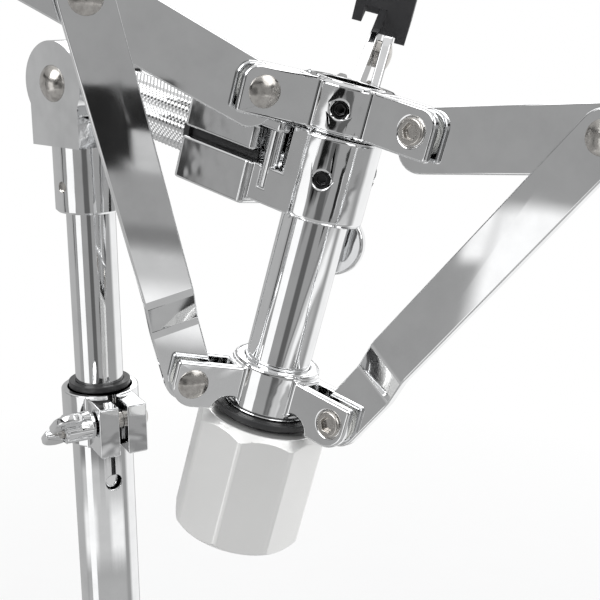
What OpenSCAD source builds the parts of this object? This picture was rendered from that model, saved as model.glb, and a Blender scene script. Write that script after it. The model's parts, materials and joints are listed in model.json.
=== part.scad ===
// Snare drum stand: a folding tripod, a telescoping upright, a tilter on a knurled bar
// and a three-arm basket that a round nut closes on the drum.
// Frame: millimetres, +Z up, origin on the floor under the upright's axis.

/* [Upright] */
// Outside diameter of the lower tube
lower_tube_d = 28.6; // [27:0.1:30]
// Wall of the lower tube
lower_tube_wall = 1.6; // [1.2:0.1:2]
// Height of the lower tube's top edge above the floor
lower_tube_top = 314; // [300:1:330]
// Height of the lower tube's bottom edge above the floor
lower_tube_foot = 38; // [34:1:40]
// Outside diameter of the upper tube
upper_tube_d = 22.2; // [21:0.1:23]
// Wall of the upper tube
upper_tube_wall = 1.8; // [1.2:0.1:2.4]
// Length of the upper tube inside the lower one
upper_tube_sunk = 150; // [110:1:170]
// Height of the tilter's hinge above the floor
tilter_h = 455; // [445:1:475]

/* [Height clamp] */
// Height of the pinch clamp
clamp_h = 25; // [20:1:28]
// Wall of the pinch clamp round the tube
clamp_wall = 3.6; // [3:0.1:5]
// Distance from the tube's axis to the end of the clamp's ears
ear_reach = 32; // [30:0.5:36]
// Thickness of one clamp ear
ear_t = 9.3; // [7:0.1:11]
// Gap between the clamp ears
ear_gap = 3.8; // [3:0.1:5]
// Direction that the clamp ears point to
ear_az = -60; // [-75:1:-50]
// Diameter of the clamp bolt
clamp_bolt_d = 7.6; // [6:0.1:8]
// Diameter of the relief hole at the end of the lower tube's slit
relief_hole_d = 8; // [6:0.5:10]
// Length of the slit below the clamp
slit_below = 20; // [15:1:26]

/* [Tripod] */
// Direction of the first leg
leg_az = -38; // [-60:1:-20]
// Radius of the leg and brace pivots from the upright's axis
leg_pivot_r = 28; // [27.5:0.5:30]
// Height of the leg pivots above the floor
leg_pivot_h = 165; // [155:1:175]
// Height of the legs' lower ends above the floor
leg_end_h = 13.7; // [12.5:0.1:15]
// Distance along a leg from its pivot to the brace's pivot
leg_brace = 105; // [95:1:110]
// Distance along a leg from its pivot to the foot's centre
leg_length = 284; // [270:1:290]
// Width of the leg strips
leg_w = 17; // [14:0.5:18]
// Thickness of the leg strips
leg_t = 3; // [2:0.1:3.2]
// Thickness of the brace strips
brace_t = 2.5; // [2:0.1:3]
// Width of the brace strips
brace_w = 14; // [12:0.5:16]
// Half the width of the leg collar's lugs
lug_half = 5; // [4:0.1:6]
// Diameter of the leg and brace pins
leg_pin_d = 6; // [5:0.5:7]
// Height of the leg collar
leg_collar_h = 34; // [30:1:40]
// Height of the brace hub
brace_hub_h = 20; // [16:1:24]
// Radius of the leg and brace pins' heads
leg_head_r = 5; // [4:0.5:5.5]
// Height of the leg and brace pins' heads
leg_head_h = 2.2; // [1.5:0.1:3]
// Wall of the leg collar and of the brace hub
leg_collar_wall = 4.6; // [4:0.1:5]

/* [Tilter] */
// Direction of the tilter bar
bar_az = -38; // [-50:1:-30]
// Angle by which the bar drops towards the basket
bar_drop = 11.4; // [5:0.2:15]
// Turn of the basket about the bar
basket_roll = -8.8; // [-14:0.2:0]
// Distance from the tilter's hinge to the basket tube's axis
bar_reach = 138; // [134:1:144]
// Diameter of the knurled bar
bar_d = 24; // [22:0.5:25]
// Thickness of the bar's eye
eye_t = 16; // [14:0.5:18]
// Radius of the bar's eye and of the fork's cheeks
eye_r = 18; // [17:0.5:20]
// Thickness of one cheek of the fork
cheek_t = 8; // [7:0.5:10]
// Thickness of a friction washer in the fork
tilt_washer_t = 1.5; // [1:0.1:2]
// Diameter of the tilter bolt
tilt_bolt_d = 7.8; // [7:0.1:8]
// Height of the tilter head's socket on the upper tube
head_socket_h = 36; // [30:1:42]
// Wall of the tilter head's socket
head_wall = 4.4; // [4:0.1:6]

/* [Bar clamp] */
// Depth of the bar's axis below the arm pivots
bar_depth = 25.5; // [25:0.1:27]
// Width of the jaws
jaw_w = 39; // [37:0.5:42]
// Distance from the basket tube's axis to the jaws' outer end
jaw_end = 57.5; // [55:0.5:60]
// Distance from the basket tube's axis to the start of the jaws
jaw_start = 21.5; // [21:0.5:23]
// Depth of the jaws' underside below the arm pivots
jaw_bottom = 44; // [43.5:0.5:47]
// Gap between the jaws
jaw_gap = 3.8; // [3:0.1:5]
// Outside diameter of the collar round the basket tube
collar_d = 34.4; // [33:0.1:35]
// Depth of the collar's underside below the arm pivots
collar_bottom = 41.5; // [41:0.5:43]
// Thickness of the split sleeve between the jaws and the bar
sleeve_t = 1.35; // [1:0.05:1.6]
// Distance from the basket tube's axis to the jaw bolt
jaw_bolt_x = 43; // [41:0.5:45]
// Diameter of the jaw bolt
jaw_bolt_d = 8; // [7:0.1:8.4]
// Largest turn of the bar each way that its slot leaves
roll_limit = 20; // [15:1:22]
// Direction of the collar's lever bolt, from the arm opposite the jaws
lever_az = 105; // [95:1:108]
// Length of the lever from its bolt to the middle of its round end
lever_l = 30; // [26:1:32]
// Width of the lever's round end
lever_w = 26; // [20:1:27]
// Thickness of the lever
lever_t = 4.5; // [3:0.1:5]
// Turn of the lever towards the upright from straight down
lever_turn = 0; // [-10:1:10]

/* [Basket] */
// Outside diameter of the basket tube
basket_tube_d = 25.4; // [24.6:0.1:26]
// Wall of the basket tube
basket_tube_wall = 1.8; // [1.4:0.1:2.4]
// Depth of the basket tube's lower end below the arm pivots
basket_tube_end = 168; // [160:1:175]
// Outside diameter of the hubs' barrels
hub_d = 34; // [33:0.1:35]
// Height of the upper hub
hub_h = 18; // [17:0.5:18.5]
// Radius of the arm pivots from the basket tube's axis
arm_pivot_r = 34.5; // [34:0.5:36]
// Reach of the hub ears from the basket tube's axis
hub_ear_reach = 43; // [42:0.5:45]
// Gap between the two ears of a hub pair
hub_ear_gap = 7.8; // [7.2:0.1:8.4]
// Thickness of a hub ear
hub_ear_t = 3.6; // [3:0.1:4]
// Diameter of the pivot screws
pivot_d = 6; // [5:0.1:6.4]
// Diameter of the pivot heads
pivot_head_d = 12; // [10:0.5:13]

/* [Upper arms] */
// Width of an upper arm
arm_w = 23; // [21:0.5:24]
// Thickness of an upper arm
arm_t = 3.5; // [3:0.1:4]
// Distance from an arm's pivot to its top edge
arm_above = 8.7; // [8:0.1:9.5]
// Direction of the arm beside the collar's lever, from the arm opposite the jaws
rear_arm_az = 122; // [119:1:122]
// Angle of the arms above the basket's level
arm_angle = 16.7; // [12:0.1:20]
// Distance along an arm from its pivot to its end
arm_length = 141; // [135:1:150]
// Height of an arm at its end
arm_end_w = 14; // [12:0.5:16]

/* [Lower straps] */
// Depth of the lower pivots below the arm pivots
lower_pivot_z = 111; // [109:0.5:113]
// Width of a lower strap
strap_w = 18.5; // [17:0.5:19]
// Thickness of a lower strap
strap_t = 4; // [3:0.1:4.2]
// Radius from the basket tube's axis to the joint of strap and arm
joint_r = 101; // [99:0.5:104]
// Sideways step of a strap from its lower end to its upper end
strap_step = 6.25; // [6:0.05:7]
// Distance along a strap from its pivot to the first bend
bend_start = 22; // [20:0.5:24]
// Distance along a strap from its pivot to the second bend
bend_end = 36; // [34:0.5:40]

/* [Basket nut] */
// Height of the lower hub's ears
lower_hub_h = 17; // [16:0.5:18]
// Diameter of the nut across its corners
nut_d = 53; // [50:0.5:54]
// Height of the nut
nut_h = 49.5; // [45:0.5:52]
// Diameter of the thrust washer
thrust_d = 41; // [38:0.5:44]
// Thickness of the thrust washer
thrust_t = 4.2; // [3.5:0.1:5]

/* [Rubber tips] */
// Width of a rubber tip
tip_w = 27; // [24:1:38]
// Length of a rubber tip along its arm
tip_l = 50; // [46:1:56]
// Height of the tip's back above the arm's top edge
tip_hook = 27; // [22:1:32]
// Width of the slot that takes the drum's hoop
tip_slot = 9; // [7:0.5:10]

/* [Hidden] */

$fn = 64;
// Clearance between two fixed faces, and running clearance of a shaft in its hole
seat = 0.02;
run = 0.08;
// Clearance between pieces that pass each other
pass = 0.4;
cut = 1;

chrome = "gainsboro";
polished = "lightgray";
black = [0.1, 0.1, 0.11];
nylon = [0.16, 0.16, 0.17];
satin = "silver";

lower_tube_r = lower_tube_d / 2;
upper_tube_r = upper_tube_d / 2;
basket_tube_r = basket_tube_d / 2;
bush_r = lower_tube_r - lower_tube_wall;
bar_r = bar_d / 2;
hub_r = hub_d / 2;
collar_r = collar_d / 2;

// Arm direction of each of the three pairs, counted from the clamp's far side, and the side of
// the arm on which its strap lies: the two next to the jaws keep clear of them
ARM_AZ = [-120, 0, rear_arm_az];
STRAP_SIDE = [1, -1, -1];

// Rounded rectangle from [x0, y0] to [x1, y1], one radius for each corner, counter-clockwise
// from the lower left
module plate(x0, y0, x1, y1, r) {
    difference() {
        translate([x0, y0]) square([x1 - x0, y1 - y0]);
        if (r[0] > 0) corner_cut(x0, y0, 1, 1, r[0]);
        if (r[1] > 0) corner_cut(x1, y0, -1, 1, r[1]);
        if (r[2] > 0) corner_cut(x1, y1, -1, -1, r[2]);
        if (r[3] > 0) corner_cut(x0, y1, 1, -1, r[3]);
    }
}

// What a round corner of radius r takes away at [x, y], towards the inside by sx and sy
module corner_cut(x, y, sx, sy, r) {
    translate([x, y]) scale_sign(sx, sy) difference() {
        translate([-cut, -cut]) square(r + cut);
        translate([r, r]) circle(r);
    }
}

module scale_sign(sx, sy) {
    if (sx > 0 && sy > 0) children();
    if (sx < 0 && sy > 0) mirror([1, 0]) children();
    if (sx > 0 && sy < 0) mirror([0, 1]) children();
    if (sx < 0 && sy < 0) rotate(180) children();
}

// Drawing in x and z, made a plate of thickness t centred on y = y0
module upright_plate(t, y0 = 0) {
    translate([0, y0 + t / 2, 0]) rotate([90, 0, 0]) linear_extrude(t) children();
}

// Cylinder along y from y0 to y1
module across(r, y0, y1) {
    translate([0, y1, 0]) rotate([90, 0, 0]) cylinder(r = r, h = y1 - y0);
}

module ring(r_out, r_in, z0, z1) {
    translate([0, 0, z0]) difference() {
        cylinder(r = r_out, h = z1 - z0);
        translate([0, 0, -cut]) cylinder(r = r_in, h = z1 - z0 + 2 * cut);
    }
}

// Barrel with a small bevel at both rims
module bevelled(r, h, b) {
    rotate_extrude() polygon([[0, 0], [r - b, 0], [r, b], [r, h - b], [r - b, h], [0, h]]);
}

// Flat domed head of radius r and height h, its flat face on z = 0
module domed_head(r, h) {
    ball_r = (r * r + h * h) / (2 * h);
    intersection() {
        translate([0, 0, h - ball_r]) sphere(ball_r);
        cylinder(r = r, h = h);
    }
}

// Two wings on a round boss, along z from 0, bored for a shaft of radius bore; the wings reach
// out to span and start at the height low
module wing_nut(span, boss_r, boss_h, low, wing_h, bore) {
    wing_w = span - boss_r;
    difference() {
        union() {
            bevelled(boss_r, boss_h, 0.8);
            for (side = [0, 180]) rotate(side) upright_plate(4) translate([0, low])
                plate(boss_r - 2.5, 0, span, wing_h, [1, wing_w * 0.45, wing_w * 0.6, 1]);
        }
        translate([0, 0, -cut]) cylinder(r = bore, h = boss_h + wing_h);
    }
}

// Frames: the tilter bar's frame has x along the bar from the hinge; the basket's frame has z
// along its tube, and its origin in the level of the arm pivots
module in_bar() {
    translate([0, 0, tilter_h]) rotate([0, bar_drop, bar_az]) children();
}

module in_basket() {
    translate([0, 0, tilter_h]) rotate([basket_roll, bar_drop, bar_az])
        translate([bar_reach, 0, bar_depth]) children();
}

// Lower tube, with its slit and relief hole under the clamp's gap
slit_w = 2;
slit_end = lower_tube_top - clamp_h - slit_below;

module lower_tube() color(chrome) difference() {
    ring(lower_tube_r, bush_r, lower_tube_foot, lower_tube_top);
    rotate(ear_az) {
        translate([0, -slit_w / 2, slit_end])
            cube([lower_tube_d, slit_w, lower_tube_top - slit_end + cut]);
        translate([0, 0, slit_end]) rotate([0, 90, 0])
            cylinder(r = relief_hole_d / 2, h = lower_tube_d);
    }
}

plug_rim = 4;

module tube_plug() color(black) {
    translate([0, 0, lower_tube_foot - plug_rim]) bevelled(lower_tube_r, plug_rim - seat, 1.2);
    translate([0, 0, lower_tube_foot - seat]) cylinder(r = bush_r - seat, h = 14);
}

// Pinch clamp at the lower tube's top
clamp_bore = lower_tube_r + seat;
clamp_r = lower_tube_r + clamp_wall;
clamp_bolt_x = ear_reach - 9;
clamp_bolt_z = lower_tube_top - 10;
clamp_side = ear_gap / 2 + ear_t;

module height_clamp() color(chrome) difference() {
    translate([0, 0, lower_tube_top - clamp_h]) union() {
        cylinder(r = clamp_r, h = clamp_h);
        rotate(ear_az) translate([0, -clamp_side, 0.8])
            cube([ear_reach, 2 * clamp_side, clamp_h - 1.6]);
    }
    translate([0, 0, lower_tube_top - clamp_h - cut]) cylinder(r = clamp_bore, h = clamp_h + 2 * cut);
    rotate(ear_az) {
        translate([0, -ear_gap / 2, lower_tube_top - clamp_h - cut])
            cube([ear_reach + cut, ear_gap, clamp_h + 2 * cut]);
        translate([clamp_bolt_x, 0, clamp_bolt_z])
            across(clamp_bolt_d / 2 + seat, -clamp_side - cut, clamp_side + cut);
    }
}

// Bolt through both ears, its domed head on the far ear, its thread out at the wing nut
clamp_nut_h = 14;
clamp_thread = 16;

module height_clamp_bolt() color(chrome) rotate(ear_az) translate([clamp_bolt_x, 0, clamp_bolt_z]) {
    across(clamp_bolt_d / 2, -clamp_side - clamp_thread, clamp_side + seat);
    translate([0, clamp_side + seat, 0]) rotate([-90, 0, 0]) domed_head(6, 3.2);
}

module height_wing_nut() color(chrome) rotate(ear_az)
    translate([clamp_bolt_x, -clamp_side - pass, clamp_bolt_z]) rotate([90, 0, 0]) rotate(35)
        wing_nut(21, 6.5, clamp_nut_h, 8, 13, clamp_bolt_d / 2 + run);

// Bush between the two tubes, with a flange on the lower tube's edge
bush_flange = 3;
bush_l = 42;
bush_gap = 0.08;

module height_bush() color(nylon) {
    ring(bush_r - bush_gap, upper_tube_r + run, lower_tube_top - bush_l, lower_tube_top + pass / 2);
    ring(lower_tube_r, upper_tube_r + run, lower_tube_top + pass / 2, lower_tube_top + bush_flange);
}

// Angle of a leg from the vertical
leg_angle = acos((leg_pivot_h - leg_end_h) / leg_length);

// Leg collar: slides on the lower tube and carries the legs
collar_out_r = lower_tube_r + leg_collar_wall;
leg_lug_r = 8.5;
wing_bolt_z = leg_pivot_h + 10;
leg_bolt_az = leg_az + 60;
boss_reach = collar_out_r + 6;

module lugs(half, h) {
    for (turn = [0, 120, 240]) rotate(leg_az + turn) upright_plate(2 * half) union() {
        plate(lower_tube_r, -leg_lug_r, leg_pivot_r, h, [0, 0, 0, 0]);
        translate([leg_pivot_r, 0]) circle(leg_lug_r);
    }
}

module pin_holes(half) {
    for (turn = [0, 120, 240]) rotate(leg_az + turn) translate([leg_pivot_r, 0, 0])
        across(leg_pin_d / 2 + seat, -half - cut, half + cut);
}

module leg_collar() color(chrome) difference() {
    union() {
        translate([0, 0, leg_pivot_h - 12]) bevelled(collar_out_r, leg_collar_h, 1);
        translate([0, 0, leg_pivot_h]) lugs(lug_half, leg_lug_r);
        translate([0, 0, wing_bolt_z]) rotate([0, 0, leg_bolt_az]) rotate([0, 90, 0])
            cylinder(r = 8, h = boss_reach);
    }
    translate([0, 0, leg_pivot_h - 12 - cut])
        cylinder(r = lower_tube_r + run, h = leg_collar_h + 2 * cut);
    translate([0, 0, leg_pivot_h]) pin_holes(lug_half);
    translate([0, 0, wing_bolt_z]) rotate([0, 0, leg_bolt_az]) rotate([0, 90, 0])
        cylinder(r = 4 + run, h = boss_reach + cut);
}

// Place of each leg's strips and its braces' strips across the leg
leg_in = lug_half + pass;
leg_out = leg_in + leg_t;
brace_in = leg_out + pass;
brace_out = brace_in + brace_t;

module leg_pins() color(chrome) for (turn = [0, 120, 240]) rotate(leg_az + turn)
    translate([leg_pivot_r, 0, leg_pivot_h]) {
        across(leg_pin_d / 2, -leg_out - pass, leg_out + pass);
        for (side = [0, 180]) rotate(side) translate([0, leg_out + pass, 0])
            rotate([-90, 0, 0]) domed_head(leg_head_r, leg_head_h);
    }

// Wing bolt that locks the leg collar on the tube
leg_bolt_l = boss_reach - lower_tube_r - 0.3;

module leg_wing_bolt() color(chrome) translate([0, 0, wing_bolt_z]) rotate([0, 0, leg_bolt_az])
    translate([boss_reach + pass, 0, 0]) rotate([0, 90, 0]) rotate(70)
        union() {
            translate([0, 0, -leg_bolt_l - pass]) cylinder(r = 4, h = leg_bolt_l + pass + 2);
            wing_nut(20, 7, 12, 5, 13, 0);
        }

// Legs: two strips, their spacers, and the rubber foot that stands on the floor
foot_r = 13;
foot_x = leg_pivot_r + leg_length * sin(leg_angle);

// Drawing of a leg strip: x across the strip, z up along it, so the leg runs towards -z
module leg_strip() {
    difference() {
        union() {
            translate([-leg_w / 2, -leg_length]) square([leg_w, leg_length]);
            circle(leg_w / 2);
            translate([0, -leg_length]) circle(leg_w / 2);
        }
        circle(leg_pin_d / 2 + run);
    }
}

module leg(turn) color(chrome) rotate(leg_az + turn) translate([leg_pivot_r, 0, leg_pivot_h])
    rotate([0, -leg_angle, 0]) {
        for (side = [-1, 1]) upright_plate(leg_t, side * (leg_in + leg_t / 2)) leg_strip();
        for (down = [leg_brace, leg_length * 0.66]) translate([0, 0, -down])
            across(4, -leg_in - seat, leg_in + seat);
    }

module foot(turn) color(black) rotate(leg_az + turn) difference() {
    translate([foot_x, 0, 0]) union() {
        cylinder(r = foot_r, h = 5);
        translate([0, 0, 5]) bevelled(foot_r, leg_end_h + 8, 3);
    }
    translate([leg_pivot_r, 0, leg_pivot_h]) rotate([0, -leg_angle, 0])
        for (side = [-1, 1]) upright_plate(leg_t + 2 * seat, side * (leg_in + leg_t / 2)) {
            translate([-leg_w / 2 - seat, -leg_length]) square([leg_w + 2 * seat, leg_length]);
            translate([0, -leg_length]) circle(leg_w / 2 + seat);
        }
}

// Braces: two strips each, outside the leg's strips
hub_pivot_h = leg_pivot_h - 2 * leg_brace * cos(leg_angle);

module brace(turn) color(chrome) rotate(leg_az + turn) translate([leg_pivot_r, 0, hub_pivot_h])
    rotate([0, leg_angle, 0]) for (side = [-1, 1]) {
        upright_plate(brace_t, side * (brace_in + brace_t / 2)) difference() {
            union() {
                translate([-brace_w / 2, 0]) square([brace_w, leg_brace]);
                circle(brace_w / 2);
                translate([0, leg_brace]) circle(brace_w / 2);
            }
            circle(leg_pin_d / 2 + run);
        }
        translate([0, side * (brace_out), leg_brace]) rotate([-90 * side, 0, 0]) domed_head(leg_head_r, leg_head_h);
    }

// Brace hub: fixed near the lower tube's foot; bosses on its lugs hold the braces' strips apart,
// so that the folded legs' strips pass between
module brace_hub() color(chrome) difference() {
    translate([0, 0, hub_pivot_h]) union() {
        translate([0, 0, -brace_hub_h / 2]) bevelled(collar_out_r, brace_hub_h, 1);
        lugs(lug_half, leg_lug_r);
        for (turn = [0, 120, 240]) rotate(leg_az + turn) translate([leg_pivot_r, 0, 0])
            across(leg_pin_d / 2 + 2, -leg_out, leg_out);
    }
    translate([0, 0, hub_pivot_h - brace_hub_h / 2 - cut])
        cylinder(r = lower_tube_r + seat, h = brace_hub_h + 2 * cut);
    translate([0, 0, hub_pivot_h]) pin_holes(leg_out);
}

module brace_hub_pins() color(chrome) for (turn = [0, 120, 240]) rotate(leg_az + turn)
    translate([leg_pivot_r, 0, hub_pivot_h]) {
        across(leg_pin_d / 2, -brace_out - pass, brace_out + pass);
        for (side = [0, 180]) rotate(side) translate([0, brace_out + pass, 0])
            rotate([-90, 0, 0]) domed_head(leg_head_r, leg_head_h);
    }

// Tilter head on the upper tube: a socket, a neck and a fork for the bar's eye
fork_in = eye_t / 2 + tilt_washer_t + 0.05;
fork_out = fork_in + cheek_t;
head_top = tilter_h - eye_r - 3;
head_r = upper_tube_r + head_wall;
socket_foot = head_top - head_socket_h;
upper_tube_top = head_top - 4;

module upper_tube() color(chrome) difference() {
    ring(upper_tube_r, upper_tube_r - upper_tube_wall, lower_tube_top - upper_tube_sunk, upper_tube_top);
    translate([0, 0, socket_foot + 12]) rotate(bar_az) across(2.5, -head_r - cut, head_r + cut);
}

module tilter_head() color(chrome) difference() {
    union() {
        translate([0, 0, socket_foot]) bevelled(head_r, head_socket_h, 1);
        rotate(bar_az) translate([0, 0, tilter_h]) {
            for (side = [-1, 1]) upright_plate(cheek_t, side * (fork_in + cheek_t / 2)) {
                circle(eye_r);
                plate(-head_r, -eye_r - 6, head_r, 0, [0, 0, 0, 0]);
            }
            translate([-head_r, -fork_out, -eye_r - 9]) cube([2 * head_r, 2 * fork_out, 7]);
        }
    }
    translate([0, 0, socket_foot - cut]) cylinder(r = upper_tube_r + seat, h = upper_tube_top - socket_foot + cut);
    rotate(bar_az) {
        translate([0, 0, tilter_h]) across(tilt_bolt_d / 2 + run, -fork_out - cut, fork_out + cut);
        translate([0, 0, socket_foot + 12]) across(2.5, -head_r - cut, head_r + cut);
    }
}

module head_pin() color(chrome) rotate(bar_az) translate([0, 0, socket_foot + 12])
    across(2.5 - seat, -head_r + 1, head_r - 1);

module tilt_bolt() color(chrome) rotate(bar_az) translate([0, 0, tilter_h]) {
    across(tilt_bolt_d / 2, -fork_out - seat, fork_out + 14);
    translate([0, -fork_out - seat, 0]) rotate([90, 0, 0]) domed_head(8, 4);
}

module tilt_wing_nut() color(chrome) rotate(bar_az) translate([0, fork_out + pass, tilter_h])
    rotate([-90, 0, 0]) rotate(60) wing_nut(24, 8.5, 10, 2.5, 15, tilt_bolt_d / 2 + run);

module tilt_washers() color(nylon) rotate(bar_az) translate([0, 0, tilter_h])
    for (side = [-1, 1]) difference() {
        across(eye_r - 1, side * (eye_t / 2 + tilt_washer_t / 2 + 0.03) - tilt_washer_t / 2,
            side * (eye_t / 2 + tilt_washer_t / 2 + 0.03) + tilt_washer_t / 2);
        across(tilt_bolt_d / 2 + run, -fork_out, fork_out);
    }

// Knurled bar: an eye in the fork, a neck and a round bar with a slot for the jaw bolt
bar_end = bar_reach - jaw_start - 2.5;
bar_start = eye_r + 12;

module knurled_bar() color(satin) in_bar() difference() {
    union() {
        across(eye_r, -eye_t / 2, eye_t / 2);
        translate([0, -eye_t / 2, -bar_r + 3]) cube([bar_start + 2, eye_t, bar_d - 6]);
        translate([bar_start, 0, 0]) rotate([0, 90, 0]) bevelled(bar_r, bar_end - bar_start, 1);
    }
    across(tilt_bolt_d / 2 + run, -eye_t, eye_t);
    translate([bar_reach - jaw_bolt_x, 0, 0]) rotate([90, 0, 90]) translate([0, 0, -jaw_bolt_d / 2 - 0.4])
        linear_extrude(jaw_bolt_d + 0.8) bolt_sweep();
}

// What the jaw bolt sweeps in the bar when the basket rolls, drawn in y and z
module bolt_sweep() {
    half = jaw_bolt_d / 2 + 0.4;
    for (turn = [-roll_limit - 1, -roll_limit / 2, 0, roll_limit / 2, roll_limit + 1])
        rotate(turn) translate([-half, -bar_d]) square([2 * half, 2 * bar_d]);
}

// Bar clamp: collar, web and lower jaw in one casting
jaw_bore = bar_r + sleeve_t + run + seat;
jaw_half = jaw_w / 2;
gap_half = jaw_gap / 2;
collar_top = hub_h / 2 + 0.6;
web_half = collar_r;
recess_x = 7.5;
lever_boss_r = 8;
lever_boss_y = 25;
collar_bore = basket_tube_r + seat;
jack_x = 15.5;
jack_y = 14.5;
jack_r = 2.9;

module jaw_bore_cut() {
    translate([-jaw_end - cut, 0, -bar_depth]) rotate([0, 90, 0])
        cylinder(r = jaw_bore, h = jaw_end - jaw_start - 1 + cut);
}

module jaw_block(z0, z1) {
    translate([0, 0, z0]) linear_extrude(z1 - z0)
        plate(-jaw_end, -jaw_half, -jaw_start, jaw_half, [2.5, 2, 2, 2.5]);
}

module clamp_casting() color(chrome) in_basket() difference() {
    union() {
        translate([0, 0, -collar_bottom]) bevelled(collar_r, collar_bottom - collar_top, 0.8);
        translate([-recess_x, -web_half, -collar_bottom])
            cube([recess_x, 2 * web_half, collar_bottom - collar_top]);
        translate([-jaw_start - 1, -web_half, -collar_bottom])
            cube([jaw_start + 1, 2 * web_half, collar_bottom - bar_depth - gap_half]);
        jaw_block(-jaw_bottom, -bar_depth - gap_half);
        translate([0, 0, -bar_depth]) rotate(lever_az - 90) across(lever_boss_r, 0, lever_boss_y);
    }
    jaw_bore_cut();
    translate([0, 0, -collar_bottom - cut]) cylinder(r = collar_bore, h = collar_bottom + cut);
    translate([-jaw_bolt_x, 0, -jaw_bottom - cut]) {
        cylinder(r = jaw_bolt_d / 2 + 0.2, h = jaw_bottom);
        cylinder(r = 7.4, h = 4.5 + cut);
    }
    translate([-jack_x, -jack_y, -bar_depth - gap_half - 8]) cylinder(r = jack_r + seat, h = 20);
    translate([0, 0, -bar_depth]) {
        rotate(lever_az - 90) across(4 + run, 0, lever_boss_y + cut);
        rotate(-60) rotate([0, 90, 0]) cylinder(r = 3 + seat, h = collar_d);
    }
}

// Upper jaw: the loose half, with a toe that stands on the jack screw
toe_z = collar_top + 4.4;

module upper_jaw() color(chrome) in_basket() difference() {
    union() {
        jaw_block(-bar_depth + gap_half, -collar_top);
        translate([0, 0, -bar_depth + gap_half]) linear_extrude(bar_depth - gap_half - collar_top)
            plate(-jaw_start - 3, -11, -collar_r - 1, 11, [0, 3, 3, 0]);
        translate([0, 0, -toe_z]) linear_extrude(toe_z - collar_top)
            plate(-jaw_start - 3, -jaw_half, -recess_x - 3, -8, [2, 2, 2, 0]);
    }
    jaw_bore_cut();
    translate([0, 0, -jaw_bottom]) cylinder(r = collar_r + 0.5, h = jaw_bottom);
    translate([-jaw_bolt_x, 0, -bar_depth]) cylinder(r = jaw_bolt_d / 2 + 0.2, h = bar_depth);
}

module jaw_jack_screw() color(chrome) in_basket() translate([-jack_x, -jack_y, 0])
    translate([0, 0, -bar_depth - gap_half - 8 + seat])
        cylinder(r = jack_r, h = bar_depth + gap_half + 8 - toe_z - 2 * seat);

// Sleeve between the bar and the jaws, slit along its back, with a flange outside the jaws
sleeve_flange = 3;

module clamp_sleeve() color(nylon) in_basket() difference() {
    translate([0, 0, -bar_depth]) rotate([0, 90, 0]) {
        translate([0, 0, -jaw_end + seat]) cylinder(r = jaw_bore - seat, h = jaw_end - jaw_start - 1.5);
        translate([0, 0, -jaw_end - sleeve_flange]) cylinder(r = jaw_bore + 2, h = sleeve_flange);
    }
    translate([-jaw_end - sleeve_flange - cut, 0, -bar_depth]) rotate([0, 90, 0])
        cylinder(r = bar_r + run, h = jaw_end);
    translate([-jaw_end - sleeve_flange - cut, 0, -bar_depth - gap_half])
        cube([jaw_end, jaw_w, jaw_gap]);
    translate([-jaw_bolt_x, 0, -jaw_bottom]) cylinder(r = jaw_bolt_d / 2 + 0.2, h = jaw_bottom);
}

// Jaw bolt, its washer and its wing nut
jaw_washer_t = 1.6;
jaw_nut_z = -collar_top + jaw_washer_t;

module jaw_bolt() color(chrome) in_basket() translate([-jaw_bolt_x, 0, 0]) {
    translate([0, 0, -jaw_bottom + 4.5 - seat]) cylinder(r = jaw_bolt_d / 2, h = jaw_bottom);
    translate([0, 0, -jaw_bottom + 0.5]) cylinder(r = 7.2, h = 4 - seat);
}

module jaw_washer() color(chrome) in_basket() translate([-jaw_bolt_x, 0, 0])
    ring(9.5, jaw_bolt_d / 2 + 0.2, -collar_top + seat, jaw_nut_z);

module jaw_wing_nut() color(chrome) in_basket() translate([-jaw_bolt_x, 0, jaw_nut_z + pass])
    rotate(25) wing_nut(18, 7.5, 8, 2.3, 11, jaw_bolt_d / 2 + run);

// Lever bolt behind the collar, which locks the basket tube; its paddle hangs beside the tube
lever_boss_h = 9;

module collar_lever_bolt() color(chrome) in_basket() rotate(lever_az - 90)
    translate([0, lever_boss_y + pass, -bar_depth]) {
        across(4, basket_tube_r + 0.3 - lever_boss_y - pass, 2);
        rotate([-90, 0, 0]) bevelled(lever_boss_r, lever_boss_h, 0.8);
        rotate([0, lever_turn, 0]) upright_plate(lever_t, 1 + lever_t / 2) union() {
            plate(-lever_w * 0.3, -lever_l, lever_w * 0.3, 0, [0, 0, 0, 0]);
            translate([0, -lever_l]) circle(lever_w / 2);
        }
    }

// Grub screws of the collar and the upper hub, with their hexagon sockets
grub_r = 2.95;
grub_sunk = 1;

module grub(z, r_out) {
    translate([0, 0, z]) rotate(-60) rotate([0, 90, 0]) difference() {
        translate([0, 0, basket_tube_r + 0.1]) cylinder(r = grub_r, h = r_out - grub_sunk - basket_tube_r);
        translate([0, 0, r_out - grub_sunk - 1.8]) cylinder(r = 1.8, h = 4, $fn = 6);
    }
}

module hub_set_screw() color(chrome) in_basket() grub(0, hub_r);
module collar_set_screw() color(chrome) in_basket() grub(-bar_depth, collar_r);

module basket_tube() color(chrome) in_basket()
    ring(basket_tube_r, basket_tube_r - basket_tube_wall, -basket_tube_end, hub_h / 2 + 0.4);

// Hubs: a barrel with three pairs of ears, counterbored for the screws' heads
ear_out = hub_ear_gap / 2 + hub_ear_t;
head_sunk = 1.6;

module ear_pair(t) {
    for (az = ARM_AZ) rotate(az) difference() {
        upright_plate(2 * ear_out) children();
        translate([hub_r + 1.5, -hub_ear_gap / 2, -t]) cube([hub_ear_reach, hub_ear_gap, 2 * t]);
        translate([arm_pivot_r, 0, 0]) across(pivot_d / 2 + seat, -ear_out - cut, ear_out + cut);
        translate([arm_pivot_r, 0, 0])
            across(pivot_head_d / 2 - 1 + seat, -ear_out - cut, -ear_out + head_sunk + seat);
    }
}

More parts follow.
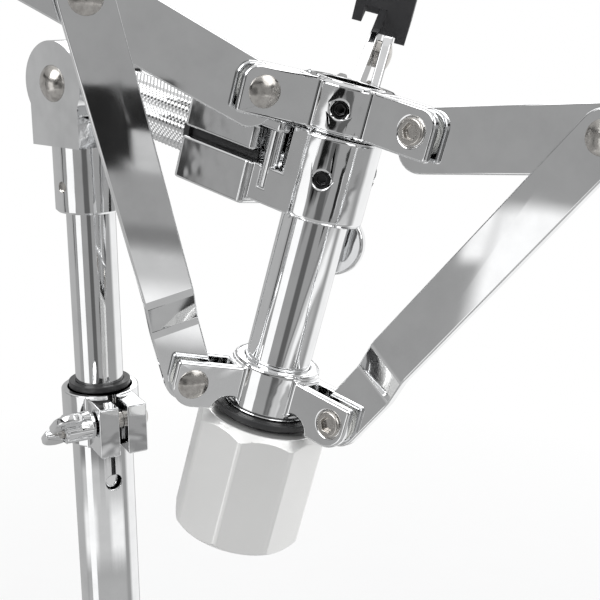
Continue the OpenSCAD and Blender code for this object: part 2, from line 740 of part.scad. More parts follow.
module upper_hub() color(chrome) in_basket() difference() {
    union() {
        translate([0, 0, -hub_h / 2]) bevelled(hub_r, hub_h, 0.6);
        ear_pair(hub_h) plate(basket_tube_r + 1, -hub_h / 2, hub_ear_reach, hub_h / 2, [0, 1.5, 6, 0]);
    }
    translate([0, 0, -hub_h]) cylinder(r = basket_tube_r + seat, h = 2 * hub_h);
    rotate(-60) rotate([0, 90, 0]) cylinder(r = 3 + seat, h = hub_d);
}

// The lower hub slides on the tube; its ears are cut away over the nut's washer
lower_hub_top = 11;
lower_hub_foot = 8.5;

module lower_hub() color(chrome) in_basket() translate([0, 0, -lower_pivot_z]) difference() {
    union() {
        translate([0, 0, -lower_hub_foot]) bevelled(hub_r, lower_hub_foot + lower_hub_top, 1);
        ear_pair(lower_hub_h) difference() {
            plate(basket_tube_r + 1, -lower_hub_foot - 1, hub_ear_reach - 1, lower_hub_foot,
                [0, 9, 1.5, 0]);
            translate([hub_r + 2, -lower_hub_foot - 1.5]) circle(6);
        }
    }
    translate([0, 0, -lower_hub_h]) cylinder(r = basket_tube_r + run, h = 2 * lower_hub_h);
}

// Pivot posts with domed heads, and the socket screws whose heads lie sunk in the other ears
post_r = pivot_d / 2;
head_h = 1.7;
socket_r = 3;

module pivot_posts(z) {
    for (az = ARM_AZ) rotate(az) translate([arm_pivot_r, 0, z]) {
        across(post_r, -ear_out + head_sunk + seat, ear_out + seat);
        translate([0, ear_out + seat, 0]) rotate([-90, 0, 0]) domed_head(pivot_head_d / 2, head_h);
    }
}

module pivot_screws(z) {
    for (az = ARM_AZ) rotate(az) translate([arm_pivot_r, -ear_out, z]) rotate([90, 0, 0])
        difference() {
            translate([0, 0, -head_sunk]) bevelled(pivot_head_d / 2 - 1, head_sunk + 1, 0.6);
            translate([0, 0, -head_sunk + 0.6]) cylinder(r = socket_r, h = head_h + head_sunk, $fn = 6);
        }
}

module pivot_washers(z, inner) {
    outer = hub_ear_gap / 2 - seat;
    for (az = ARM_AZ) rotate(az) translate([arm_pivot_r, 0, z])
        for (side = [0, 180]) rotate(side) difference() {
            across(7, inner, outer);
            across(post_r + seat, inner - cut, outer + cut);
        }
}

module upper_pivot_posts() color(chrome) in_basket() pivot_posts(0);
module upper_pivot_screws() color(chrome) in_basket() pivot_screws(0);
module upper_pivot_washers() color(nylon) in_basket() pivot_washers(0, arm_t / 2 + 0.1);
module lower_pivot_posts() color(chrome) in_basket() pivot_posts(-lower_pivot_z);
module lower_pivot_screws() color(chrome) in_basket() pivot_screws(-lower_pivot_z);
module lower_pivot_washers() color(nylon) in_basket() pivot_washers(-lower_pivot_z, strap_t / 2 + 0.1);

// Upper arms: blades on edge, tapering towards the tips
arm_below = arm_w - arm_above;
nose = 9;
taper_from = 92;
joint_x = joint_r - arm_pivot_r;
joint_z = joint_x * tan(arm_angle) - (arm_below - arm_above) / 2 / cos(arm_angle);
rivet_head_r = 6;
rivet_head_h = 1.5;

// Drawing of an arm in its own frame: x along it from the pivot, y up across it
module arm_outline() difference() {
    union() {
        plate(-nose, -arm_below, taper_from, arm_above, [9, 0, 0, 4]);
        polygon([[taper_from, -arm_below], [arm_length, arm_above - arm_end_w],
            [arm_length, arm_above], [taper_from, arm_above]]);
    }
    circle(post_r + run);
}

module in_arm(i) {
    in_basket() rotate(ARM_AZ[i]) translate([arm_pivot_r, 0, 0]) children();
}

// An arm's far side holds the tail of the joint's rivet
module upper_arm(i) color(polished) in_arm(i) {
    rotate([0, -arm_angle, 0]) upright_plate(arm_t) arm_outline();
    translate([joint_x, -STRAP_SIDE[i] * arm_t / 2, joint_z])
        rotate([90 * STRAP_SIDE[i], 0, 0]) domed_head(rivet_head_r, rivet_head_h);
}

// Lower straps: flat bars, stepped sideways between two bends
strap_rise = joint_z + lower_pivot_z;
strap_chord = sqrt(joint_x * joint_x + strap_rise * strap_rise);
strap_lean = atan2(joint_x, strap_rise);
strap_r = strap_w / 2;

// Drawing of a strap: x away from the tube, y along the chord from the lower pivot
module strap_outline() difference() {
    union() {
        translate([-strap_r, 0]) square([strap_w, strap_chord]);
        circle(strap_r);
        translate([0, strap_chord]) circle(strap_r);
    }
    circle(post_r + run);
}

// Side view of a strap: x sideways, y along the chord
module strap_side(side) {
    h = strap_t / 2;
    s = side * strap_step;
    polygon([[-h, -2 * strap_r], [h, -2 * strap_r], [h, bend_start], [s + h, bend_end],
        [s + h, strap_chord + 2 * strap_r], [s - h, strap_chord + 2 * strap_r],
        [s - h, bend_end], [-h, bend_start]]);
}

module in_strap(i) {
    in_arm(i) translate([0, 0, -lower_pivot_z]) rotate([0, strap_lean, 0]) children();
}

module lower_strap(i) color(polished) in_strap(i) intersection() {
    translate([0, 3 * strap_step, 0]) rotate([90, 0, 0]) linear_extrude(6 * strap_step) strap_outline();
    translate([-2 * strap_w, 0, 0]) rotate([90, 0, 90]) linear_extrude(4 * strap_w)
        strap_side(STRAP_SIDE[i]);
}

// Rivet of strap and arm: its head on the strap and a spacing washer between the two
module strap_rivet(i) color(chrome) in_strap(i) translate([0, 0, strap_chord]) {
    s = STRAP_SIDE[i];
    face = strap_step - strap_t / 2;
    translate([0, s > 0 ? 0 : -face + seat, 0]) difference() {
        across(rivet_head_r, s > 0 ? arm_t / 2 + 0.15 : 0,
            s > 0 ? face - seat : face - seat - arm_t / 2 - 0.15);
    }
    translate([0, s * (strap_step + strap_t / 2 + seat), 0]) rotate([-90 * s, 0, 0])
        domed_head(rivet_head_r, rivet_head_h);
}

// Thrust washer and nut under the lower hub
thrust_z = -lower_pivot_z - lower_hub_foot - seat;
nut_top = thrust_z - thrust_t - seat;
nut_cone = 3.5;

module thrust_washer() color(black) in_basket() {
    ring(thrust_d / 2, basket_tube_r + run, thrust_z - thrust_t * 0.55, thrust_z);
    ring(thrust_d / 2 - 3, basket_tube_r + run, thrust_z - thrust_t, thrust_z - thrust_t * 0.55);
}

// The nut's eight corners are turned off to narrow strips
nut_strip_r = nut_d / 2 - 0.35;

module basket_nut() color(satin) in_basket() difference() {
    intersection() {
        translate([0, 0, nut_top - nut_h]) rotate(22.5) cylinder(r = nut_d / 2, h = nut_h, $fn = 8);
        translate([0, 0, nut_top - nut_h]) rotate_extrude()
            polygon([[0, 0], [nut_strip_r - 2.4, 0], [nut_strip_r, 2.4], [nut_strip_r, nut_h - nut_cone],
                [nut_strip_r - nut_cone, nut_h], [0, nut_h]]);
    }
    translate([0, 0, nut_top - nut_h - cut]) cylinder(r = basket_tube_r + run, h = nut_h + 2 * cut);
}

// Rubber tips: a saddle over the arm's end, with a narrow skirt on one side and a broad one on
// the other, and a back whose slot takes the drum's hoop
tip_back = arm_length - tip_l + 6;
tip_end = tip_back + tip_l;
tip_top = arm_above + tip_hook;
tip_half = tip_w / 2;
skirt_t = 4.5;
skirt_foot = 0;
broad_foot = -3.5;
prong_foot = -6;
arm_foot = arm_above - arm_end_w - 3;

module tip_block(y0, y1) {
    upright_plate(y1 - y0, (y0 + y1) / 2) children();
}

module tip(i) color(black) in_arm(i) rotate([0, -arm_angle, 0]) difference() {
    union() {
        tip_block(-tip_half, tip_half)
            plate(tip_back, arm_above + seat, tip_end, arm_above + 12, [0, 0, 0, 3]);
        tip_block(-tip_half + 3, tip_half - 3)
            plate(tip_end - 23, arm_above + 12 - cut, tip_end, tip_top, [0, 0, 5, 4]);
        tip_block(tip_half - skirt_t, tip_half)
            plate(tip_back, skirt_foot, tip_end, arm_above + cut, [2, 3, 0, 0]);
        tip_block(-tip_half + 1, -arm_t / 2 - seat)
            plate(tip_back, broad_foot, tip_end, arm_above + cut, [2, 3, 0, 0]);
        tip_block(-tip_half, -tip_half + 5)
            plate(tip_back, prong_foot, tip_end - 8, arm_above + cut, [2, 3, 0, 0]);
        tip_block(-tip_half + 1, tip_half - skirt_t / 2)
            plate(arm_length + 0.2, arm_foot, tip_end, arm_above + cut, [2, 4, 0, 0]);
    }
    tip_block(-tip_w, tip_w) plate(tip_end - 24, arm_above + 15, tip_end - 8, arm_above + 15 + tip_slot,
        [0, 3, 3, 0]);
}

lower_tube();
tube_plug();
height_clamp();
height_clamp_bolt();
brace_hub();
brace_hub_pins();
height_wing_nut();
leg_collar();
leg_pins();
leg_wing_bolt();
leg(0);  // leg_1
leg(120);  // leg_2
leg(240);  // leg_3
foot(0);  // foot_1
foot(120);  // foot_2
foot(240);  // foot_3
brace(0);  // brace_1
brace(120);  // brace_2
brace(240);  // brace_3
height_bush();
upper_tube();
tilter_head();
head_pin();
tilt_bolt();
tilt_washers();
tilt_wing_nut();
knurled_bar();
clamp_casting();
upper_jaw();
clamp_sleeve();
jaw_bolt();
jaw_washer();
jaw_jack_screw();
jaw_wing_nut();
collar_lever_bolt();
collar_set_screw();
hub_set_screw();
basket_tube();
upper_hub();
upper_pivot_posts();
upper_pivot_screws();
upper_pivot_washers();
upper_arm(0);  // upper_arm_1
upper_arm(1);  // upper_arm_2
upper_arm(2);  // upper_arm_3
tip(0);  // tip_1
tip(1);  // tip_2
tip(2);  // tip_3
lower_hub();
lower_pivot_posts();
lower_pivot_screws();
lower_pivot_washers();
thrust_washer();
lower_strap(0);  // lower_strap_1
lower_strap(1);  // lower_strap_2
lower_strap(2);  // lower_strap_3
strap_rivet(0);  // strap_rivet_1
strap_rivet(1);  // strap_rivet_2
strap_rivet(2);  // strap_rivet_3
basket_nut();
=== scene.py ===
import bmesh
import bpy
import json
from math import cos, degrees, pi, radians, sin
from mathutils import Euler, Matrix, Vector
from mathutils.bvhtree import BVHTree


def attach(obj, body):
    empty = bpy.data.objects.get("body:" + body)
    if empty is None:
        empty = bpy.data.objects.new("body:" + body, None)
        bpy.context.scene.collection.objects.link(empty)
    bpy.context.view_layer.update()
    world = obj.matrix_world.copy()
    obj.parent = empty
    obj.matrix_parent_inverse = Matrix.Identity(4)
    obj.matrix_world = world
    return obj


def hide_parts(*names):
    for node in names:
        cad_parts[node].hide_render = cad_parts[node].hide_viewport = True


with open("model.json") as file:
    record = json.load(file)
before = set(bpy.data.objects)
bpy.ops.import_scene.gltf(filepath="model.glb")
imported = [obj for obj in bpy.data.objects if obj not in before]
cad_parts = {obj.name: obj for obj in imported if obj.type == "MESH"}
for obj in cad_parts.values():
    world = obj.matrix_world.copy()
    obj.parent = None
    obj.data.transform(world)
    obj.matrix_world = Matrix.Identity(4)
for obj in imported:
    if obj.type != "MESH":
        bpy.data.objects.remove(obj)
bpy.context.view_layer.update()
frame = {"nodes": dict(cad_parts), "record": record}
CAD = frame["nodes"]
BODY_OF = {node: body for body, nodes in frame["record"]["behaviour"]["bodies"].items() for node in nodes}
JOINT = {joint["name"]: joint for joint in frame["record"]["behaviour"]["joints"]}

# Camera: it stands close to the basket and a little above it, where the photograph was taken,
# and looks down by 15.7 degrees.
basket_centre = Vector(JOINT["basket_turn"]["pos_m"])
camera = bpy.data.objects.new("camera", bpy.data.cameras.new("camera"))
bpy.context.scene.collection.objects.link(camera)
camera.location = basket_centre + Vector((-0.0071, -0.405, 0.0407))
camera.rotation_euler = Euler((radians(90 - 15.7), 0, radians(1.3)))
camera.data.lens = 66
camera.data.sensor_width = 36
camera.data.clip_start = 0.01
camera.data.clip_end = 20
bpy.context.scene.camera = camera


# Studio: a pale floor that fades into a white sweep, and soft lamps. What the chrome mirrors is
# the room behind: grey walls, a tall white screen at the left, and dark corners.
class Socket:
    """A node's output, with the arithmetic that the finishes are written in."""

    def __init__(self, tree, link):
        self.tree = tree
        self.link = link

    def math(self, operation, *values):
        return Nodes(self.tree).add("ShaderNodeMath", {"operation": operation}, *values)

    def __add__(self, other):
        return self.math("ADD", self, other)

    def __sub__(self, other):
        return self.math("SUBTRACT", self, other)

    def __mul__(self, other):
        return self.math("MULTIPLY", self, other)

    def __truediv__(self, other):
        return self.math("DIVIDE", self, other)

    def __pow__(self, other):
        return self.math("POWER", self, other)

    def __rsub__(self, other):
        return self.math("SUBTRACT", other, self)

    def __rtruediv__(self, other):
        return self.math("DIVIDE", other, self)

    __radd__ = __add__
    __rmul__ = __mul__

    def clamp(self):
        return self.math("MINIMUM", self.math("MAXIMUM", self, 0.0), 1.0)

    def between(self, low, high):
        """0 at low, 1 at high."""
        return ((self - low) / (high - low)).clamp()

    def window(self, low, high, soft):
        """1 between low and high, with a soft edge inside each."""
        return ((self - low) / soft).clamp() * ((high - self) / soft).clamp()

    def towards(self, target, mask):
        return self + (target - self) * mask

    def part(self, axis):
        return Nodes(self.tree).add("ShaderNodeSeparateXYZ", {}, self, out="XYZ".index(axis))


class Nodes:
    """Makes the nodes of one material, world or geometry tree."""

    def __init__(self, tree):
        self.tree = tree

    def add(self, kind, settings, *values, out=0, **named):
        node = self.tree.nodes.new(kind)
        for key, value in settings.items():
            setattr(node, key, value)
        pairs = list(enumerate(values)) + [(key.replace("_", " "), value) for key, value in named.items()]
        for key, value in pairs:
            socket = node.inputs[key]
            if isinstance(value, Socket):
                self.tree.links.new(value.link, socket)
            elif socket.type == "RGBA" and len(value) == 3:
                socket.default_value = (*value, 1)
            else:
                socket.default_value = value
        return Socket(self.tree, node.outputs[out])

    def ray(self, kind):
        return self.add("ShaderNodeLightPath", {}, out=kind)

    def place(self):
        return self.add("ShaderNodeTexCoord", {}, out="Object")

    def noise(self, where, scale, detail=2.0):
        return self.add("ShaderNodeTexNoise", {}, where, Scale=scale, Detail=detail)

    def bump(self, height, strength, distance):
        return self.add("ShaderNodeBump", {}, Height=height, Strength=strength, Distance=distance)

    def mix(self, factor, first, second):
        node = self.tree.nodes.new("ShaderNodeMix")
        node.data_type = "RGBA"
        node.inputs[6].default_value = (*first, 1)
        node.inputs[7].default_value = (*second, 1)
        self.tree.links.new(factor.link, node.inputs[0])
        return Socket(self.tree, node.outputs[2])

    def output(self, kind, shader):
        end = self.tree.nodes.new(kind)
        self.tree.links.new(shader.link, end.inputs[0])


def blank_material(name, colour):
    made = bpy.data.materials.new(name)
    made.use_nodes = True
    made.diffuse_color = (*colour, 1)
    made.node_tree.nodes.clear()
    return made, Nodes(made.node_tree)


# The floor grows white away from the stand, and lets the metal mirror the studio below it.
floor_half = 6
white_from = 0.15
all_white = 0.8
white_paper, paper = blank_material("white_paper", (0.88, 0.88, 0.88))
grain = paper.mix(paper.noise(paper.place(), 30.0), (0.84, 0.84, 0.84), (0.88, 0.88, 0.88))
lit_paper = paper.add("ShaderNodeBsdfPrincipled", {}, Base_Color=grain, Roughness=0.9)
where = paper.place()
distance = (where.part("X") ** 2.0 + where.part("Y") ** 2.0) ** 0.5
white_light = paper.add("ShaderNodeEmission", {}, (1, 1, 1, 1), 1.0)
clear = paper.add("ShaderNodeBsdfTransparent", {})
whiteness = distance.between(white_from, all_white) * 0.5 + 0.5
sweep = paper.add("ShaderNodeMixShader", {}, whiteness, lit_paper, white_light)
seen_floor = paper.add("ShaderNodeMixShader", {}, paper.ray("Is Glossy Ray"), sweep, clear)
paper.output("ShaderNodeOutputMaterial", seen_floor)

floor_mesh = bpy.data.meshes.new("floor")
corners = [(x * floor_half, y * floor_half, 0) for x, y in ((-1, -1), (1, -1), (1, 1), (-1, 1))]
floor_mesh.from_pydata(corners, [], [(0, 1, 2, 3)])
floor_mesh.materials.append(white_paper)
floor = bpy.data.objects.new("floor", floor_mesh)
bpy.context.scene.collection.objects.link(floor)

world = bpy.data.worlds.new("studio")
bpy.context.scene.world = world
world.use_nodes = True
world.node_tree.nodes.clear()
studio = Nodes(world.node_tree)
direction = studio.add("ShaderNodeTexCoord", {}, out="Generated")
# Degrees to the right of +Y, and above the horizon
turn = direction.math("ARCTAN2", direction.part("X"), direction.part("Y")) * degrees(1)
rise = direction.math("ARCSINE", direction.part("Z")) * degrees(1)
behind = turn.math("ABSOLUTE", turn)
room = rise.between(20.0, 60.0) * 0.45 + 0.36
# Each patch: its brightness, its left and right, its bottom and top, and how soft its sides are
for brightness, side, left, right, side_soft, bottom, top, height_soft in (
        # Grey wall at the left, and the bright window at the right
        (0.48, turn, -97.0, -8.0, 8.0, -60.0, 30.0, 10.0),
        (1.00, turn, 4.0, 82.0, 14.0, -75.0, 28.0, 8.0),
        # The floor on the camera's side, in bands
        (0.22, behind, 90.0, 200.0, 15.0, -23.6, -22.3, 0.4),
        (0.62, behind, 90.0, 200.0, 15.0, -29.0, -23.6, 0.4),
        (1.06, behind, 90.0, 160.0, 15.0, -29.0, -25.2, 1.1),
        (0.48, behind, 90.0, 200.0, 15.0, -95.0, -28.0, 2.0),
        (0.03, turn, 60.0, 97.7, 0.3, -64.9, -55.0, 0.3),
        # Dark corners of the room
        (0.05, turn, -101.35, -97.0, 0.35, -14.0, 8.0, 1.0),
        (0.12, behind, 169.0, 200.0, 4.0, -26.0, 4.0, 6.0),
        (0.01, turn, -172.0, -147.0, 5.0, -7.0, 14.0, 4.0),
        # A dark stepped shape before a pale patch, which the left strap mirrors
        (0.64, turn, 142.5, 146.5, 0.1, -19.7, -17.0, 0.1),
        (0.02, turn, 142.8, 152.0, 0.06, -17.6, -15.35, 0.06),
        (0.02, turn, 144.75, 152.0, 0.08, -19.45, -17.4, 0.1),
        (0.02, turn, 145.5, 152.0, 0.15, -19.9, -19.25, 0.12),
        # Screen at the left, and the dark edge of the ceiling
        (1.15, turn, -142.5, -116.3, 1.0, -32.0, 5.4, 0.8),
        (1.15, turn, -117.0, -114.8, 0.7, 1.4, 5.4, 0.8),
        (0.03, behind, 60.0, 200.0, 10.0, 13.0, 24.0, 3.0)):
    room = room.towards(brightness, side.window(left, right, side_soft) * rise.window(bottom, top, height_soft))
# A pale slanting streak across the dark shape
streak = (turn - rise * 0.58).window(154.78, 154.98, 0.08)
room = room.towards(0.45, streak * rise.window(-17.3, -15.4, 0.3) * turn.window(143.0, 147.5, 0.3))
plain = studio.add("ShaderNodeBackground", {}, (0.9, 0.91, 0.92, 1), 0.55)
reflected = studio.add("ShaderNodeBackground", {}, (1, 1, 1, 1), room)
white = studio.add("ShaderNodeBackground", {}, (1, 1, 1, 1), 1.0)
unseen = studio.add("ShaderNodeMixShader", {}, studio.ray("Is Glossy Ray"), plain, reflected)
studio.output("ShaderNodeOutputWorld",
              studio.add("ShaderNodeMixShader", {}, studio.ray("Is Camera Ray"), unseen, white))

for name, place, size, power in (
        ("key", (-0.9, -1.1, 1.6), 1.2, 16),
        ("fill", (1.2, -0.8, 1.2), 1.2, 9),
        ("back", (0.3, 1.5, 1.5), 1.4, 12)):
    lamp = bpy.data.objects.new(name, bpy.data.lights.new(name, "AREA"))
    lamp.data.size = size
    lamp.data.energy = power
    lamp.location = place
    lamp.rotation_euler = (basket_centre - lamp.location).to_track_quat("-Z", "Y").to_euler()
    bpy.context.scene.collection.objects.link(lamp)

bpy.context.scene.view_settings.view_transform = "Standard"


# Tubes: drawn steel, buffed along their length and chromed, so their mirror has faint long waves
# and a light haze. Each is cut square, with its edges just broken.
def material(name, build, colour):
    """A material whose build(nodes) gives the Principled sockets' values and links."""
    made, nodes = blank_material(name, colour)
    nodes.output("ShaderNodeOutputMaterial", nodes.add("ShaderNodeBsdfPrincipled", {}, **build(nodes)))
    return made


def chromed(wave, wave_scale, haze, first=(0.87, 0.875, 0.88), second=(0.8, 0.805, 0.81)):
    """A mirror finish: the depth and scale of its waves, how dull its smears are, and its tints."""
    def build(nodes):
        where = nodes.place()
        smear = nodes.noise(where, 90.0, 3.0).between(0.35, 0.75)
        ripple = nodes.noise(where, wave_scale, 1.0)
        return {"Base_Color": nodes.mix(smear, first, second), "Metallic": 1.0,
                "Roughness": smear * haze + 0.03, "Normal": nodes.bump(ripple, wave, 0.001)}
    return build


def solid_copy(node, sliver=0.0):
    """The merged solids of a CAD node, flat faces in one piece, ready for a bevel."""
    same_point = 2e-6
    same_flat = radians(0.4)
    shape = bmesh.new()
    shape.from_mesh(CAD[node].data)
    bmesh.ops.remove_doubles(shape, verts=shape.verts, dist=same_point)
    if sliver:
        bmesh.ops.dissolve_degenerate(shape, dist=sliver, edges=shape.edges)
    bmesh.ops.dissolve_limit(shape, angle_limit=same_flat, verts=shape.verts, edges=shape.edges)
    return shape


def new_piece(name, shape, metal):
    mesh = bpy.data.meshes.new(name)
    shape.to_mesh(mesh)
    shape.free()
    mesh.materials.clear()
    mesh.materials.append(metal)
    for face in mesh.polygons:
        face.use_smooth = True
        face.material_index = 0
    piece = bpy.data.objects.new(name, mesh)
    bpy.context.scene.collection.objects.link(piece)
    return piece


def apply_modifiers(piece):
    done = bpy.data.meshes.new_from_object(piece.evaluated_get(bpy.context.evaluated_depsgraph_get()))
    piece.modifiers.clear()
    piece.data = done
    done.name = piece.name


def trim_folds(piece, node, farthest):
    """Sets points that a bevel threw past the solid back on it, as it does where edges all but meet."""
    solid = CAD[node].data
    surface = BVHTree.FromPolygons([vertex.co for vertex in solid.vertices],
                                   [tuple(face.vertices) for face in solid.polygons])
    for vertex in piece.data.vertices:
        place, normal, face, distance = surface.find_nearest(vertex.co)
        if distance > farthest:
            vertex.co = place


def broken_edges(node, metal, edge, steps=3, angle=30, shape=None, clamp=False):
    """Replaces a CAD node by the same solid with its edges rounded to a radius of about edge."""
    piece = new_piece(node + "_finished", shape or solid_copy(node), metal)
    bevel = piece.modifiers.new("broken_edges", "BEVEL")
    bevel.width = edge
    bevel.segments = steps
    bevel.limit_method = "ANGLE"
    bevel.angle_limit = radians(angle)
    bevel.use_clamp_overlap = clamp
    apply_modifiers(piece)
    trim_folds(piece, node, edge)
    flats = piece.modifiers.new("true_flats", "WEIGHTED_NORMAL")
    flats.weight = 100
    flats.keep_sharp = False
    apply_modifiers(piece)
    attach(piece, BODY_OF[node])
    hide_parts(node)
    return piece


tube_chrome = material("tube_chrome", chromed(0.03, 50.0, 0.05), (0.8, 0.8, 0.82))
for node in ("lower_tube", "upper_tube", "basket_tube"):
    broken_edges(node, tube_chrome, 0.0003, 2)

# Castings: the clamps, hubs, collars and the tilter's head are zinc, cast, polished and chromed.
# The polishing wheel has rounded their edges and left the flats a little uneven.
cast_chrome = material("cast_chrome", chromed(0.10, 110.0, 0.06), (0.8, 0.8, 0.82))
casting_sliver = 0.0001
for node, edge, clamp in (
        ("upper_hub", 0.0011, False), ("lower_hub", 0.0011, False), ("clamp_casting", 0.0011, False),
        ("upper_jaw", 0.0011, False), ("height_clamp", 0.0009, False), ("tilter_head", 0.0012, True),
        ("leg_collar", 0.001, False), ("brace_hub", 0.001, False)):
    broken_edges(node, cast_chrome, edge, 4, shape=solid_copy(node, casting_sliver), clamp=clamp)

# Arms, straps, legs and braces: flat steel bars, punched, bent and chromed. Their wide faces are
# flat mirrors with the long waves of the rolled bar.
strap_chrome = material("strap_chrome", chromed(0.04, 30.0, 0.03), (0.8, 0.8, 0.82))
bar_edge = 0.0006
for node in ("upper_arm_1", "upper_arm_2", "upper_arm_3",
             "leg_1", "leg_2", "leg_3", "brace_1", "brace_2", "brace_3"):
    broken_edges(node, strap_chrome, bar_edge, 3)


def is_bend(edge):
    """Whether an edge is a strap's bend: a long edge between two faces that meet at a small angle."""
    return len(edge.link_faces) == 2 and 0.3 < edge.calc_face_angle() < 0.6 and edge.calc_length() > 0.012


for node in ("lower_strap_1", "lower_strap_2", "lower_strap_3"):
    strap = solid_copy(node)
    bmesh.ops.bevel(strap, geom=[edge for edge in strap.edges if is_bend(edge)], offset=0.0018, segments=5,
                    profile=0.5, affect="EDGES", clamp_overlap=True)
    broken_edges(node, strap_chrome, bar_edge, 3, shape=strap)


# Rivets, pins and screws: turned steel, nickelled, duller and browner than the chrome, and a
# little pitted.
def nickelled(nodes):
    where = nodes.place()
    smear = nodes.noise(where, 500.0, 3.0).between(0.35, 0.75)
    pits = nodes.noise(where, 900.0, 2.0)
    return {"Base_Color": nodes.mix(smear, (0.62, 0.6, 0.57), (0.42, 0.4, 0.38)), "Metallic": 1.0,
            "Roughness": smear * 0.14 + 0.14, "Normal": nodes.bump(pits, 0.12, 0.0002)}


nickel = material("nickel", nickelled, (0.6, 0.58, 0.55))
for node in ("upper_pivot_posts", "upper_pivot_screws", "lower_pivot_posts", "lower_pivot_screws",
             "jaw_bolt", "jaw_washer", "strap_rivet_1", "strap_rivet_2", "strap_rivet_3",
             "height_clamp_bolt", "tilt_bolt", "head_pin", "leg_pins", "brace_hub_pins"):
    broken_edges(node, nickel, 0.0003, 2)


# Jack screw: a chromed grub screw under the upper jaw's toe, with its thread in view. A tree sets
# one turn of a thread, or one tooth of a knurl, round an axis and along it. Each row is turned by
# half a step from the one below, which makes rows of teeth a diamond knurl.
def make_repeat_tree():
    tree = bpy.data.node_groups.new("repeat_round_axis", "GeometryNodeTree")
    for name, kind in (("Tooth", "Geometry"), ("Around", "Int"), ("Rows", "Int"), ("Row step", "Float"),
                       ("Radius", "Float"), ("Metal", "Material")):
        tree.interface.new_socket(name, in_out="INPUT", socket_type="NodeSocket" + kind)
    tree.interface.new_socket("Teeth", in_out="OUTPUT", socket_type="NodeSocketGeometry")
    given = tree.nodes.new("NodeGroupInput")
    tooth, around, rows, row_step, radius, metal = [Socket(tree, given.outputs[index]) for index in range(6)]
    nodes = Nodes(tree)
    index = nodes.add("GeometryNodeInputIndex", {})
    row = (index / around).math("FLOOR", index / around)
    shift = row.math("FLOORED_MODULO", row, 2.0) * 0.5
    angle = (index - row * around + shift) * (2 * pi) / around
    spot = nodes.add("ShaderNodeCombineXYZ", {}, angle.math("COSINE", angle) * radius,
                     angle.math("SINE", angle) * radius, row * row_step)
    facing = nodes.add("ShaderNodeCombineXYZ", {}, 0.0, 0.0, angle)
    points = nodes.add("GeometryNodePoints", {}, around * rows, spot)
    teeth = nodes.add("GeometryNodeInstanceOnPoints", {}, points, Instance=tooth, Rotation=facing)
    solid = nodes.add("GeometryNodeRealizeInstances", {}, teeth)
    finished = nodes.add("GeometryNodeSetMaterial", {}, solid, Material=metal)
    nodes.output("NodeGroupOutput", finished)
    return tree


repeat_tree = make_repeat_tree()


def repeated(name, tooth, metal, node, place, around, rows, row_step, radius):
    """Teeth round the z of a place, which ride on the body of a CAD node."""
    piece = new_piece(name, tooth, metal)
    maker = piece.modifiers.new("repeat", "NODES")
    maker.node_group = repeat_tree
    values = {"Around": around, "Rows": rows, "Row step": row_step, "Radius": radius, "Metal": metal}
    for item in repeat_tree.interface.items_tree:
        if item.name in values:
            maker[item.identifier] = values[item.name]
    apply_modifiers(piece)
    piece.data.transform(place)
    for face in piece.data.polygons:
        face.use_smooth = False
    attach(piece, BODY_OF[node])
    return piece


def thread(name, metal, node, place, low, high, radius, pitch):
    """Ridges of a screw thread from low to high along a place's z."""
    tooth = bmesh.new()
    sides = 32
    half_ridge = 0.42 * pitch
    ridge_height = 0.5 * pitch
    rings = []
    for height, out in ((-half_ridge, 0.0), (0.0, ridge_height), (half_ridge, 0.0)):
        rings.append([tooth.verts.new(((radius + out) * cos(step * 2 * pi / sides),
                                       (radius + out) * sin(step * 2 * pi / sides), height))
                      for step in range(sides)])
    for lower, upper in zip(rings, rings[1:]):
        for step in range(sides):
            after = (step + 1) % sides
            tooth.faces.new((lower[step], lower[after], upper[after], upper[step]))
    rows = max(1, int((high - low) / pitch))
    return repeated(name, tooth, metal, node, place @ Matrix.Translation((0, 0, low + pitch / 2)),
                    1, rows, pitch, 0.0)


def along(origin, axis, across):
    """The place whose z runs along axis and whose x points across, as nearly as it can."""
    z = Vector(axis).normalized()
    x = (Vector(across) - z * z.dot(Vector(across))).normalized()
    turned = Matrix((x, z.cross(x), z)).transposed().to_4x4()
    return Matrix.Translation(origin) @ turned


def reach(node, place, keep=lambda point: True):
    """Lowest and highest z of a node's points in a place's frame, and their greatest radius."""
    back = place.inverted()
    points = [point for point in (back @ vertex.co for vertex in CAD[node].data.vertices) if keep(point)]
    heights = [point.z for point in points]
    return min(heights), max(heights), max(point.to_2d().length for point in points)


broken_edges("jaw_jack_screw", cast_chrome, 0.0002, 2)
arm_side = Vector(JOINT["arm_2_swing"]["pos_m"]) - basket_centre
basket_axis = along(basket_centre, JOINT["basket_turn"]["axis"], arm_side)
jack_foot, jack_top = reach("jaw_jack_screw", basket_axis)[:2]
jack_place = basket_axis @ Matrix.Translation((-0.0155, -0.0145, 0))
thread("jack_screw_thread", cast_chrome, "jaw_jack_screw", jack_place,
       low=jack_foot + 0.001, high=jack_top - 0.0005, radius=0.0023, pitch=0.00125)

# Set screws: grub screws sunk in the hub and the collar, with a socket for a key, coloured near-black all over:
# painted shade for their dark sockets.
# Near-black metal: painted shade standing in for the shade inside the screws' key sockets
painted_socket_shade = material("painted_socket_shade_steel", chromed(0.05, 300.0, 0.2, (0.06, 0.06, 0.062), (0.03, 0.03, 0.03)),
                     (0.05, 0.05, 0.05))
for node in ("hub_set_screw", "collar_set_screw"):
    broken_edges(node, painted_socket_shade, 0.0003, 2)

# Wing nuts, wing bolt and lever bolt: cast with their bosses in one piece, thick and well rounded,
# polished and chromed like the castings that they hold.
for node in ("jaw_wing_nut", "collar_lever_bolt", "height_wing_nut", "tilt_wing_nut", "leg_wing_bolt"):
    broken_edges(node, cast_chrome, 0.0013, 5)


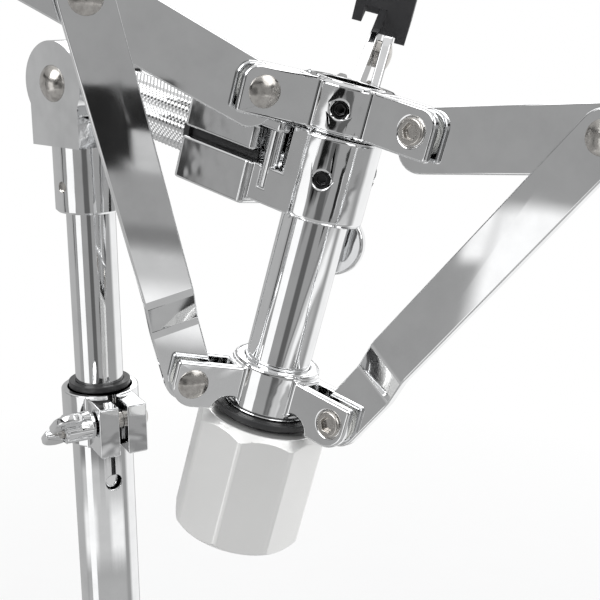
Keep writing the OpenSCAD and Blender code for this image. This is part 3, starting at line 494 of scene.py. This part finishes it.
# Basket nut: aluminium, turned and milled to eight flats, then blasted and satin anodised. Its
# corners are only just broken.
def satin(nodes):
    where = nodes.place()
    grain = nodes.noise(where, 2500.0, 2.0)
    cloud = nodes.noise(where, 60.0, 2.0)
    return {"Base_Color": nodes.mix(cloud, (0.93, 0.93, 0.92), (0.88, 0.88, 0.87)), "Metallic": 0.75,
            "Roughness": grain * 0.08 + 0.36, "Normal": nodes.bump(grain, 0.12, 0.0002)}


satin_aluminium = material("satin_aluminium", satin, (0.78, 0.78, 0.78))
broken_edges("basket_nut", satin_aluminium, 0.0004, 3, angle=12)

# Tilter bar: steel, turned, with a diamond knurl rolled into it so that the sleeve's jaws hold
# it. Each tooth of the knurl is a pyramid on the bar's surface.
broken_edges("knurled_bar", cast_chrome, 0.0005, 3)
bar_axis = along(JOINT["basket_roll"]["pos_m"], JOINT["basket_roll"]["axis"], (0, 0, 1))
knurl_pitch = 0.002
knurl_depth = 0.00035
knurl_start = 0.0315
knurl_sunk = 0.00002
row_step = knurl_pitch / 2
past_eye = 0.035
bar_radius = reach("knurled_bar", bar_axis, lambda point: point.z > past_eye)[2]
sleeve_face = reach("clamp_sleeve", bar_axis)[0]
knurl_rows = int((sleeve_face - 0.001 - knurl_start) / row_step)
knurl_around = round(2 * pi * bar_radius / knurl_pitch)
half = pi * bar_radius / knurl_around
tooth = bmesh.new()
peak = tooth.verts.new((knurl_depth, 0, 0))
base = [tooth.verts.new((0, across, up))
        for across, up in ((-half, 0), (0, -row_step), (half, 0), (0, row_step))]
for first, second in zip(base, base[1:] + base[:1]):
    tooth.faces.new((peak, first, second))
repeated("knurl", tooth, cast_chrome, "knurled_bar", bar_axis @ Matrix.Translation((0, 0, knurl_start)),
         knurl_around, knurl_rows, row_step, bar_radius - knurl_sunk)


# Rubber and nylon: tips, feet and plug are moulded rubber; the bush, the sleeve and the friction
# washers are black nylon, and the pivots' washers natural nylon.
def moulded(first, second, rough):
    def build(nodes):
        where = nodes.place()
        grain = nodes.noise(where, 1500.0, 3.0)
        return {"Base_Color": nodes.mix(grain, first, second), "Roughness": grain * 0.15 + rough,
                "Normal": nodes.bump(grain, 0.15, 0.0002)}
    return build


black_rubber = material("black_rubber", moulded((0.016, 0.016, 0.018), (0.028, 0.028, 0.03), 0.42),
                        (0.02, 0.02, 0.02))
for node in ("tip_1", "tip_2", "tip_3", "foot_1", "foot_2", "foot_3", "tube_plug"):
    broken_edges(node, black_rubber, 0.0009, 3, clamp=True)
black_nylon = material("black_nylon", moulded((0.02, 0.02, 0.021), (0.03, 0.03, 0.031), 0.3),
                       (0.025, 0.025, 0.025))
for node in ("height_bush", "tilt_washers", "clamp_sleeve", "thrust_washer"):
    broken_edges(node, black_nylon, 0.0004, 3)
pale_nylon = material("pale_nylon", moulded((0.75, 0.75, 0.72), (0.68, 0.68, 0.65), 0.35), (0.7, 0.7, 0.68))
for node in ("upper_pivot_washers", "lower_pivot_washers"):
    broken_edges(node, pale_nylon, 0.0002, 2)
